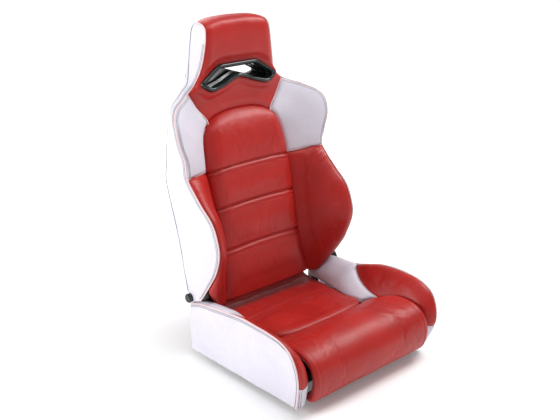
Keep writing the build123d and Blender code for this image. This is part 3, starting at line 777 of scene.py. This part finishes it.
def against_loop(points, loop):
    """Nearest points of a closed outline, and whether each point (n, 2) lies inside it."""
    ends = np.roll(loop, -1, 0)
    edge = ends - loop
    rel = points[:, None] - loop[None]
    t = np.clip((rel * edge).sum(-1) / (edge * edge).sum(-1), 0, 1)
    feet = loop[None] + t[..., None] * edge[None]
    nearest = feet[np.arange(len(points)), np.linalg.norm(points[:, None] - feet, axis=-1).argmin(1)]
    x, v = points[:, :1], points[:, 1:]
    crosses = (loop[:, 1] > v) != (ends[:, 1] > v)
    rise = np.where(np.abs(edge[:, 1]) < 1e-9, 1e-9, edge[:, 1])
    where = loop[:, 0] + (v - loop[:, 1]) * edge[:, 0] / rise
    return nearest, (crosses & (x < where)).sum(1) % 2 == 1


def distance_outside(grid, loop):
    """How far each point of a backrest grid is outside an outline (across, up the back)."""
    flat = grid[..., [0, 2]].reshape(-1, 2)
    nearest, inside = against_loop(flat, loop)
    return np.where(inside, 0, np.linalg.norm(flat - nearest, axis=1)).reshape(grid.shape[:2])


def slotted(grid, loop, hole=None):
    """Cells inside an outline, and the grid with the edge of that hole drawn onto the outline."""
    if hole is None:
        centre = (grid[1:, 1:] + grid[:-1, :-1] + grid[1:, :-1] + grid[:-1, 1:]) / 4
        hole = distance_outside(centre, loop) == 0
    padded = np.pad(hole, 1)
    corners = np.stack([padded[:-1, :-1], padded[1:, :-1], padded[:-1, 1:], padded[1:, 1:]])
    on_edge = corners.any(0) & ~corners.all(0)
    grid = grid.copy()
    grid[on_edge] = np.insert(
        against_loop(grid[on_edge][:, [0, 2]], loop)[0], 1, grid[on_edge][:, 1], axis=1
    )
    return grid, hole


# How full the headrest is (second row) at heights up the back (first row).
HEAD_FULLNESS = [
    [482, 508, 560, 600, 640, 700, 741, 774],
    [2, 3, 11, 16, 14, 9, 6, 3],
]
DISH_FLAT, DISH_SLOPE = 2, 22  # the flat ring round the bezel and the slope outside it
DISH_TOP = 700  # above it the headrest is full again
HOLE_MARGIN = 4  # how far the bezel's lip covers the headrest's hole


def headrest():
    arch, top = mirror_across(PAD_ARCH)[::-1], mirror_across(HEAD_TOP)[::-1]
    seam = patch(arch, top, right_of(HEAD_SIDE), HEAD_SIDE, 150, 110)
    surface = puffed(seam, np.interp(seam[..., 2], *HEAD_FULLNESS), roll=26, tuck=4, free="top")
    t = np.clip((distance_outside(surface, BEZEL_LOOP) - DISH_FLAT) / DISH_SLOPE, 0, 1)
    t = np.where(surface[..., 2] > DISH_TOP, 1, t * t * (3 - 2 * t))
    surface[..., 1] = BEZEL_PLANE - 1 + (surface[..., 1] - BEZEL_PLANE + 1) * t
    surface = creased(surface, 0.35, 70, seed=9, where=t)
    hole_loop = grown(BEZEL_LOOP, -HOLE_MARGIN)
    surface, hole = slotted(surface, hole_loop)
    back = slotted(backing(seam, 12), hole_loop, hole)[0]
    limit = np.abs(seam[:, -1:, 0]) * 0.94
    back[..., 0] = np.clip(back[..., 0], -limit, limit)
    add_panel("headrest_cover", surface, back, 1, RED, BACK, "headrest_pad", from_back, hole)


def level_climb(rearward):
    """The slot runs level through the leaning backrest, so it climbs towards the rear."""
    return np.maximum(0.0, rearward - BEZEL_PLANE) * sin(BACK_TILT) / cos(BACK_TILT)


def along_slot(loop, rearward):
    """An outline (across, up the back) moved along the level slot to that far rearward."""
    rearward = np.broadcast_to(rearward, len(loop))
    return np.stack([loop[:, 0], rearward, loop[:, 1] + level_climb(rearward)], -1)


def bezel():
    """Glossy moulded ring round the belt slot, with a lip that leads into the sleeve."""
    inner = grown(SLOT_LOOP, -0.4)
    # Share of the way from the outer to the inner outline, and how far rearward.
    sections = (
        (0.0, -17.0), (0.0, -23.0), (0.06, -27.5), (0.2, -31.0), (0.42, -32.5), (0.64, -31.5),
        (0.82, -28.0), (0.95, -22.0), (1.0, -14.0), (1.0, 6.0), (0.86, 6.0), (0.8, -17.0),
    )
    loops = [along_slot(BEZEL_LOOP * (1 - share) + inner * share, y) for share, y in sections]
    add_ring("slot_bezel", loops, GLOSS_BLACK, "belt_bezel_front")


# How far rearward the rear cover lies (second row) at distances from the middle (first row).
REAR_AT_SLOT = [
    [0, 92, 120, 138, 150],
    [87, 83, 71, 52, 30],
]


def rear_surface(loop):
    """How far rearward the rear cover lies at the points of an outline beside the slot."""
    return np.interp(np.abs(loop[:, 0]), *REAR_AT_SLOT)


def rear_bezel():
    """Satin ring that closes the slot in the curved rear cover, and the wall of the slot."""
    # Margin outside the slot, and how far proud of the rear cover.
    sections = (
        (-0.5, -34.0), (-0.5, -8.0), (1.0, 0.5), (4.0, 3.2), (8.0, 3.4), (10.5, 1.0), (10.5, -6.0),
        (3.0, -6.0), (2.0, -34.0),
    )
    loops = []
    for margin, proud in sections:
        loop = grown(SLOT_LOOP, margin)
        loops.append(along_slot(loop, rear_surface(loop) + proud))
    add_ring("slot_rear_bezel", loops, SATIN_BLACK, "belt_bezel_rear")


def slot_tunnel():
    """Thin-walled sleeve between the two bezels."""
    wall, front, short_of_rear = 2.5, -16.0, 12.0
    loops = []
    for margin, at_rear in ((0.0, False), (0.0, True), (wall, True), (wall, False)):
        loop = grown(SLOT_LOOP, margin)
        loops.append(along_slot(loop, rear_surface(loop) - short_of_rear if at_rear else front))
    add_ring("slot_sleeve", loops, SATIN_BLACK, "belt_sleeve")


headrest()
bezel()
rear_bezel()
slot_tunnel()
for name, side in SIDES.items():
    back_bolster(name, side)
    wing(name, side)


HINGE_ROWS = 8  # rows at the hinge where the rear seam has no cord


def side_cover(name, side):
    """White side of the backrest, from hinge to headrest, between its front and rear seams."""
    rows, columns = 190, 26
    steps = np.linspace(0, len(COVER_FRONT) - 1, 600)
    run = run_length(spline(COVER_FRONT, steps))
    knots = np.interp(np.linspace(0, run[-1], rows), run, steps)
    u = spread(columns)[None, :, None]
    seam = spline(COVER_FRONT, knots)[:, None] * (1 - u) + spline(COVER_REAR, knots)[:, None] * u
    depth = np.linalg.norm(seam[:, -1] - seam[:, 0], axis=1)[:, None]
    belly = 0.03 * depth * np.sin(pi * u[..., 0])
    seam = bow(seam, 1.0, whole=True) + normals(seam) * belly[..., None]
    surface = puffed(seam, 2.0, roll=8, tuck=2.5, free="bottom top")
    surface = creased(surface, 0.5, 90, seed=11)
    add_panel(
        f"side_cover_{name}", surface, backing(seam, 4), side, WHITE, BACK,
        f"side_boxing_{name}", from_back,
    )
    seam_rows(
        f"side_cover_stitches_{name}", from_back(surface), "left", [6.0, 10.0], side, THREAD, BACK,
        slice(2, 172),
    )
    front_edge = from_back(seam[:, 0] + normals(seam)[:, 0] * 0.5)
    add_piping(f"side_cover_piping_{name}", front_edge, 2.1, side, BACK, PIPING)
    rear_edge = from_back(seam[:, -1] + normals(seam)[:, -1] * 0.4)
    add_piping(f"rear_seam_cord_{name}", rear_edge[HINGE_ROWS:], 1.0, side, BACK, THREAD)


TOP_RISE = 10  # how much higher the rear cover is in its middle
HINGE_SIDE, HINGE_BLEND = 201, 8  # outward of here the cover stays clear of the hinge
HINGE_CLEARANCE = 36


def rear_cover():
    """White cover over the back of the shell, from side seam to side seam."""
    net = []
    for height, half in REAR_COVER:
        section = np.array([(x, y, height) for x, y in half], float)
        net.append(mirror_across(section[::-1]))
    net = np.array(net)
    half_width, bottom, next_station = net[-1, :, 0].max(), REAR_COVER[0][0], REAR_COVER[1][0]
    net[-1, :, 2] += TOP_RISE * (1 - (net[-1, :, 0] / half_width) ** 2)
    seam = loft(net, 150, 110, crowding=0.3)
    beside_hinge = np.clip((np.abs(seam[..., 0]) - HINGE_SIDE) / HINGE_BLEND, 0, 1)
    low = np.clip(1 - (seam[..., 2] - bottom) / (next_station - bottom), 0, 1)
    seam[..., 2] += HINGE_CLEARANCE * beside_hinge * low
    surface = puffed(seam, 2.0, roll=12, tuck=3)
    surface = creased(surface, 0.6, 110, seed=31)
    slot = grown(SLOT_LOOP, 5)
    slot[:, 1] += level_climb(rear_surface(slot))
    surface, hole = slotted(surface, slot)
    back = slotted(backing(seam, 5), slot, hole)[0]
    piece = closed_panel("rear_cover", from_back(surface), from_back(back), 1, WHITE, hole)
    declare(piece, BACK, "white_leather", "back_shell")


def back_underside():
    """Closes the bottom of the backrest between the centre pad and the rear cover."""
    left = [(204, 42, -27), (204, 8, -33), (204, -24, -30)]
    rear = mirror_across([left[0], (0, 43, -28)])[::-1]
    front = mirror_across([left[-1], (0, -26, -32)])[::-1]
    seam = patch(rear, front, right_of(left), left, 24, 60)
    surface = creased(puffed(seam, 2.0, roll=12, tuck=1), 0.6, 60, seed=37)
    piece = closed_panel("back_underside_cover", from_back(surface), from_back(backing(seam, 4)), 1, RED)
    declare(piece, BACK, "red_leather")


rear_cover()
back_underside()
for name, side in SIDES.items():
    side_cover(name, side)
    lower = placed(from_back(WING_BOTTOM), np.linspace(0.02, 1, 40))
    add_piping(f"wing_seam_piping_{name}", lower, 2.0, side, BACK, PIPING)
    inner = placed(from_back(WING_INNER[:-1] + WING_TOP), np.linspace(0, 1, 80))
    add_piping(f"wing_inner_piping_{name}", inner, 1.8, side, BACK, PIPING)


# ---- seat base
# Height of the cushion's top (second row) from its front to its rear (first row).
CUSHION_TOP = [
    [-99, -60, 0, 65, 150, 194],
    [149, 141, 133, 128, 122, 119],
]
CUSHION_CHANNEL, CUSHION_WELT = 65, 16.0


def seat_cushion():
    front = mirror_across([CUSHION_SIDE[0], (130, -92, 135), (0, -99, 141)])[::-1]
    rear = mirror_across([CUSHION_SIDE[-1], (0, 194, 115)])[::-1]
    seam = patch(front, rear, right_of(CUSHION_SIDE), CUSHION_SIDE, 90, 80)
    height = np.interp(seam[..., 1], *CUSHION_TOP) - seam[..., 2]
    surface = puffed(seam, np.maximum(height, 3.0), roll=36, tuck=3.5, free="top")
    offset = seam[..., 1] - CUSHION_CHANNEL - channel_sag(seam[..., 0], 6.0)
    surface = sewn(surface, offset, 4.0, width=6.0, welt=CUSHION_WELT, welt_rise=1.2)
    surface = creased(surface, 0.5, 70, seed=13)
    add_panel(
        "seat_cushion_cover", surface, backing(seam, 30), 1, RED, SEAT, "seat_cushion",
        loose=looseness(seam, offset - 0.5 * CUSHION_WELT),
    )


def cushion_tail():
    """Flap of the cushion's cover that closes the space under the backrest."""
    left = [(205, 186, 115), (205, 205, 120), (205, 221, 130), (205, 234, 142)]
    front = mirror_across([left[0], (0, 188, 117)])[::-1]
    rear = mirror_across([left[-1], (0, 234, 143)])[::-1]
    seam = patch(front, rear, right_of(left), left, 20, 60)
    surface = creased(puffed(seam, 3.0, roll=14, tuck=2, free="bottom"), 0.6, 60, seed=15)
    piece = closed_panel("cushion_tail_flap", surface, backing(seam, 6), 1, RED)
    declare(piece, SEAT, "red_leather")


ROLL_REAR = 0.84  # share of the profile where the roll meets the cushion
ROLL_DIP = [0.0, 26.0, -14.0]  # how its rear corners give way to the seat bolsters
DIP_START, DIP_FULL, DIP_FADE, DIP_END = 120, 180, 170, 200
ROLL_SEAM = 19  # how far inward of its ends the roll is sewn


def front_roll():
    rows, columns = 100, 130
    u, v = spread(columns, 0.8), np.linspace(0, 1, rows)
    knots = v * (len(ROLL_PROFILE) - 1)
    profile = spline(ROLL_PROFILE, knots)
    half = spline(np.array(ROLL_HALF, float)[:, None], knots)[:, 0]
    x = (2 * u - 1)[None, :] * half[:, None]
    seam = np.stack([x, np.repeat(profile[:, :1], columns, 1), np.repeat(profile[:, 1:], columns, 1)], -1)
    to_rear = np.clip((v[:, None] - ROLL_REAR) / (1 - ROLL_REAR), 0, 1)
    outward = np.clip((np.abs(x) - DIP_START) / (DIP_FULL - DIP_START), 0, 1)
    fade = np.clip((DIP_END - np.abs(x)) / (DIP_END - DIP_FADE), 0, 1)
    seam = seam + (to_rear * outward * fade)[..., None] * ROLL_DIP
    surface = puffed(seam, 1.5, roll=16, tuck=5, free="bottom")
    offset = half[:, None] - np.abs(x) - ROLL_SEAM
    surface = sewn(surface, offset, 1.6, width=2.2)
    surface = creased(surface, 0.5, 80, seed=17)
    add_panel(
        "front_roll_cover", surface, backing(seam, 24), 1, RED, SEAT, "front_roll",
        loose=looseness(seam, offset),
    )


def seat_bolster(name, side):
    seam = loft(BOLSTER_NET[::-1], 70, 48)
    surface = puffed(seam, 3.0, roll=12, tuck=4)
    surface = inside_seam(creased(surface, 0.5, 70, seed=19), seam, 0.5)
    back = inside_seam(backing(seam, 14), seam, 7)
    add_panel(
        f"seat_bolster_cover_{name}", surface, back, side, RED, SEAT,
        f"seat_bolster_{name}", loose=looseness(seam),
    )


def rear_wedge(name, side):
    outer = WEDGE_SEAM + CREST[CREST_WEDGE_END - 1::-1]
    tip = [CUSHION_SIDE[0], (196, -78, 129), WEDGE_SEAM[0]]
    inner = CUSHION_SIDE[:4] + [(203, 150, 118), (204, 190, 120)]
    rear = [inner[-1], (206, 193, 148), (232, 197, 163), CREST[0]]
    seam = patch(tip, rear, inner, outer, 60, 44)
    surface = puffed(bow(seam, 9, centre=0.66), 3.5, roll=14, tuck=4)
    surface = creased(surface, 0.4, 70, seed=23)
    back = inside_seam(backing(seam, 12), seam, 7)
    add_panel(f"rear_wedge_cover_{name}", surface, back, side, WHITE, SEAT, f"rear_wedge_{name}")


def valance(name, side):
    top = CREST[CREST_CORNER::-1]
    front = CREST[:CREST_CORNER - 1:-1]
    bottom = [CREST[-1], (256, 0, 16), (260, 203, 16)]
    rear = [(260, 203, 16), (262, 204, 100), CREST[0]]
    seam = patch(bottom, top, front, rear, 60, 110)
    surface = puffed(bow(seam, 4), 2.5, roll=10, tuck=2.5)
    surface = creased(surface, 0.6, 100, seed=29)
    back = backing(seam, 5)
    add_panel(f"valance_cover_{name}", surface, back, side, WHITE, SEAT, f"valance_{name}")
    seam_rows(
        f"valance_stitches_{name}", surface, "top", [6.5, 10.5], side, THREAD, SEAT, slice(3, 108),
    )
    seam_rows(
        f"valance_front_stitches_{name}", surface, "left", [6.5], side, THREAD, SEAT, slice(2, 58),
    )


def front_corner(name, side):
    inner = [(229, -248, 24), (232, -256, 60), BOLSTER_NET[-1][0]]
    bottom = [inner[0], (242, -250, 21), CREST[-1]]
    seam = patch(bottom, BOLSTER_NET[-1], inner, CREST[:-4:-1], 34, 30)
    surface = puffed(seam, 2.0, roll=8, tuck=2.5)
    add_panel(
        f"front_corner_cover_{name}", surface, backing(seam, 10), side, WHITE, SEAT,
        f"front_corner_{name}",
    )
    seam_rows(
        f"front_corner_stitches_{name}", surface, "right", [7.0, 12.0], side, THREAD, SEAT,
        slice(1, 33),
    )


seat_cushion()
cushion_tail()
front_roll()
for name, side in SIDES.items():
    seat_bolster(name, side)
    rear_wedge(name, side)
    valance(name, side)
    front_corner(name, side)
    for seam_name, points, count, radius in (
        ("crest", CREST, 150, 2.3), ("wedge", WEDGE_SEAM, 60, 2.0), ("corner", BOLSTER_NET[-1], 30, 1.8),
    ):
        path = placed(points, np.linspace(0, 1, count))
        add_piping(f"{seam_name}_piping_{name}", path, radius, side, SEAT, PIPING)

LARGEST_MOVE = 6.0
stuff(LOOSE_COVERS, LARGEST_MOVE)


# ---- light, floor, camera
GLOW_START, GLOW_END = 0.4, 2.4  # distances (m) between which the floor's glow grows


def floor():
    """Pale floor with painted light: it glows, dim near the seat and brighter away from it, standing in for a
    studio's light.
    """
    size = 12.0 / MM
    corners = [(-size, -size, 0), (size, -size, 0), (size, size, 0), (-size, size, 0)]
    material, tree, shader = node_material("pale_floor")
    away = add_node(tree, "ShaderNodeVectorMath", {0: object_place(tree)}, operation="LENGTH")
    glow = add_node(
        tree, "ShaderNodeMapRange",
        {
            "Value": away.outputs["Value"], "From Min": GLOW_START, "From Max": GLOW_END,
            "To Min": 0.12, "To Max": 0.75,
        },
    )
    # painted light: the floor's own emission, low near the seat and high far off, so the floor is white far off
    # and darker near the seat
    feed(tree, shader, {
        "Base Color": (0.95, 0.95, 0.95, 1), "Roughness": 0.75,
        "Emission Color": (1.0, 1.0, 1.0, 1), "Emission Strength": glow.outputs["Result"],
    })
    new_object("floor", corners, [(0, 1, 2, 3)], material)


def area_light(name, place, aim, size, power):
    light = bpy.data.lights.new(name, "AREA")
    light.size = size
    light.energy = power
    lamp = linked(name, light)
    lamp.location = place
    lamp.rotation_euler = (Vector(aim) - Vector(place)).to_track_quat("-Z", "Y").to_euler()


floor()
area_light("key", (1.9, -0.5, 2.8), (0, 0, 0.4), 1.3, 66)
area_light("side", (-3.0, 1.0, 1.1), (-0.3, 0, 0.4), 1.5, 70)
area_light("top", (-0.2, -0.4, 3.2), (0, 0, 0.3), 1.6, 24)
area_light("rear", (1.2, 3.4, 2.4), (0, 0, 0.5), 2.0, 34)

world = bpy.data.worlds.new("pale_room")
world.use_nodes = True
background = world.node_tree.nodes["Background"]
feed(world.node_tree, background, {"Color": (1.0, 1.0, 1.0, 1), "Strength": 0.36})
bpy.context.scene.world = world

AIM = Vector((-0.030, 0.069, 0.432))
AZIMUTH = radians(-42.3)
ELEVATION = radians(20.2)
DISTANCE = 2.588
camera_data = bpy.data.cameras.new("camera")
camera_data.sensor_width = 36.0
camera_data.lens = 58.3
camera = linked("camera", camera_data)
offset = Vector((sin(AZIMUTH) * cos(ELEVATION), -cos(AZIMUTH) * cos(ELEVATION), sin(ELEVATION)))
camera.location = AIM + DISTANCE * offset
camera.rotation_euler = (-offset).to_track_quat("-Z", "Y").to_euler()
bpy.context.scene.camera = camera
bpy.context.scene.view_settings.view_transform = "Standard"
